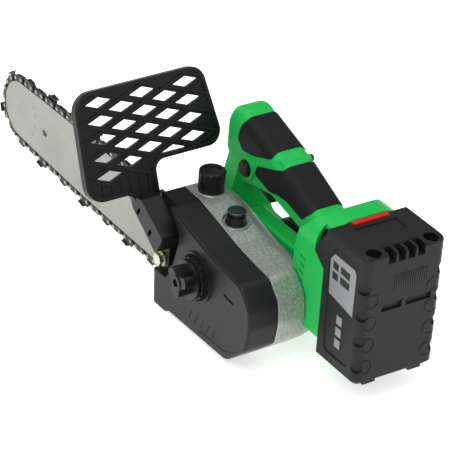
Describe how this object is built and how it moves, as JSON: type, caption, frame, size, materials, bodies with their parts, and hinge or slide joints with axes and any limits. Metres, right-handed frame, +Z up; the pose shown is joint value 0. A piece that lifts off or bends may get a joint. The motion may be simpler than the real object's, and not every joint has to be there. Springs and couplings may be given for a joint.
{
  "type": "cordless chainsaw",
  "caption": "Cordless chainsaw: D-handled body over a cast gear case, guide bar with saw chain, latticed hand guard, slide-on battery.",
  "frame": {"origin": "middle of the base of the bounding box", "axes": "+X forward along the guide bar, +Y to the left (chain side), +Z up"},
  "size_m": [0.4922, 0.1908, 0.1812],
  "materials": {
    "green_plastic": "satin",
    "soft_grip": "matt",
    "black_plastic": "satin",
    "battery_plastic": "fine texture",
    "red_plastic": "gloss",
    "cast_metal": "rough cast",
    "plate_metal": "machined",
    "bar_steel": "satin",
    "chain_steel": "dark",
    "rivet_steel": "satin",
    "zinc_steel": "zinc",
    "screw_steel": "satin",
    "gear_steel": "satin",
    "bearing_steel": "polished",
    "motor_steel": "laminated",
    "copper_brass": "satin",
    "tank_plastic": "translucent",
    "board_green": "satin",
    "cell_can": "wrapped",
    "dark_button": "gloss"
  },
  "bodies": {
    "saw": {"bar_studs": "zinc_steel", "battery_socket": "black_plastic", "chain_cutters": "chain_steel", "chain_drive_links": "chain_steel", "chain_rivets": "rivet_steel", "chain_tie_straps": "chain_steel", "controller_board": "board_green", "gear_bearings": "bearing_steel", "gear_case": "cast_metal", "gear_case_plate": "plate_metal", "gear_case_screws": "screw_steel", "grip_pad_front": "soft_grip", "grip_pad_rear": "soft_grip", "guard_bolt": "zinc_steel", "guard_nut": "zinc_steel", "guide_bar": "bar_steel", "housing_left": "green_plastic", "housing_right": "green_plastic", "housing_screws": "screw_steel", "motor_bearings": "bearing_steel", "motor_end_cover": "black_plastic", "motor_stator": "motor_steel", "nose_rivets": "rivet_steel", "oil_pump": "black_plastic", "oil_tank": "tank_plastic", "press_button_collar": "black_plastic", "press_button_spring": "zinc_steel", "sprocket_cover": "black_plastic", "tension_pin": "zinc_steel", "terminal_block": "black_plastic", "terminal_contacts": "copper_brass", "trigger_pin": "screw_steel", "trigger_spring": "zinc_steel", "trigger_switch": "black_plastic"},
    "battery": {"battery_case": "battery_plastic", "battery_front": "battery_plastic", "battery_cells": "cell_can", "battery_screws": "screw_steel"},
    "battery_latch": {"battery_latch": "red_plastic"},
    "hand_guard": {"hand_guard": "black_plastic"},
    "trigger": {"trigger": "black_plastic"},
    "lock_off_button": {"lock_off_button": "black_plastic"},
    "tension_dial": {"tension_dial": "black_plastic"},
    "clamp_knob": {"clamp_knob": "black_plastic", "clamp_knob_screw": "screw_steel"},
    "oil_cap_lift": {"oil_cap_stem": "black_plastic"},
    "oil_cap": {"oil_cap": "black_plastic"},
    "press_button": {"press_button": "dark_button"},
    "rotor": {"motor_rotor": "motor_steel", "motor_pinion": "gear_steel", "cooling_fan": "black_plastic"},
    "intermediate": {"intermediate_shaft": "gear_steel", "first_stage_gear": "gear_steel", "second_stage_pinion": "gear_steel"},
    "spindle": {"output_spindle": "gear_steel", "output_gear": "gear_steel", "drive_sprocket": "gear_steel", "sprocket_washer": "zinc_steel", "sprocket_clip": "screw_steel"},
    "nose_sprocket": {"nose_sprocket": "gear_steel"}
  },
  "joints": [
    {"name": "trigger_pull", "type": "hinge", "parent": "saw", "child": "trigger", "pos_m": [-0.04613, -0.05142, 0.115], "axis": [0, 1, 0], "range_deg": [0, 11], "stiffness_Nm_per_rad": 1.2, "springref_deg": -17.19, "deforming": ["trigger_spring"]},
    {"name": "lock_off_press", "type": "slide", "parent": "saw", "child": "lock_off_button", "axis": [0, -1, 0], "range_m": [0, 0.004], "stiffness_N_per_m": 300, "springref_m": -0.003},
    {"name": "press_button_push", "type": "slide", "parent": "saw", "child": "press_button", "axis": [0, 0, -1], "range_m": [0, 0.003], "stiffness_N_per_m": 400, "springref_m": -0.003, "deforming": ["press_button_spring"]},
    {"name": "tension_dial_turn", "type": "hinge", "parent": "saw", "child": "tension_dial", "pos_m": [-0.10013, 0.04358, 0.058], "axis": [0, 1, 0], "range_deg": [-180, 180]},
    {"name": "clamp_knob_turn", "type": "hinge", "parent": "saw", "child": "clamp_knob", "pos_m": [-0.10013, 0.04858, 0.058], "axis": [0, 1, 0], "range_deg": [0, 540]},
    {"name": "oil_cap_lift_off", "type": "slide", "parent": "saw", "child": "oil_cap_lift", "axis": [0, 0, 1], "range_m": [0, 0.012]},
    {"name": "oil_cap_turn", "type": "hinge", "parent": "oil_cap_lift", "child": "oil_cap", "pos_m": [-0.04813, -0.00392, 0.107], "axis": [0, 0, 1], "range_deg": [0, 1440]},
    {"name": "hand_guard_swing", "type": "hinge", "parent": "saw", "child": "hand_guard", "pos_m": [-0.04913, 0.03658, 0.0475], "axis": [0, 1, 0], "range_deg": [0, 18]},
    {"name": "battery_slide", "type": "slide", "parent": "saw", "child": "battery", "axis": [-1, 0, 0], "range_m": [0, 0.08]},
    {"name": "battery_latch_press", "type": "slide", "parent": "battery", "child": "battery_latch", "axis": [0, 0, -1], "range_m": [0, 0.003], "stiffness_N_per_m": 500, "springref_m": -0.003},
    {"name": "spindle_spin", "type": "hinge", "parent": "saw", "child": "spindle", "pos_m": [-0.14813, 0.00858, 0.053], "axis": [0, 1, 0], "continuous": true},
    {"name": "intermediate_spin", "type": "hinge", "parent": "saw", "child": "intermediate", "pos_m": [-0.12313, -0.01142, 0.053], "axis": [0, 1, 0], "continuous": true},
    {"name": "rotor_spin", "type": "hinge", "parent": "saw", "child": "rotor", "pos_m": [-0.09513, -0.05142, 0.053], "axis": [0, 1, 0], "continuous": true},
    {"name": "nose_sprocket_spin", "type": "hinge", "parent": "saw", "child": "nose_sprocket", "pos_m": [0.21237, 0.02358, 0.053], "axis": [0, 1, 0], "continuous": true}
  ],
  "couplings": [
    {"joint": "intermediate_spin", "follows": "spindle_spin", "ratio": -2.5714},
    {"joint": "rotor_spin", "follows": "spindle_spin", "ratio": 9.4286},
    {"joint": "oil_cap_turn", "follows": "oil_cap_lift_off", "rad_per_m": 2094.4}
  ]
}
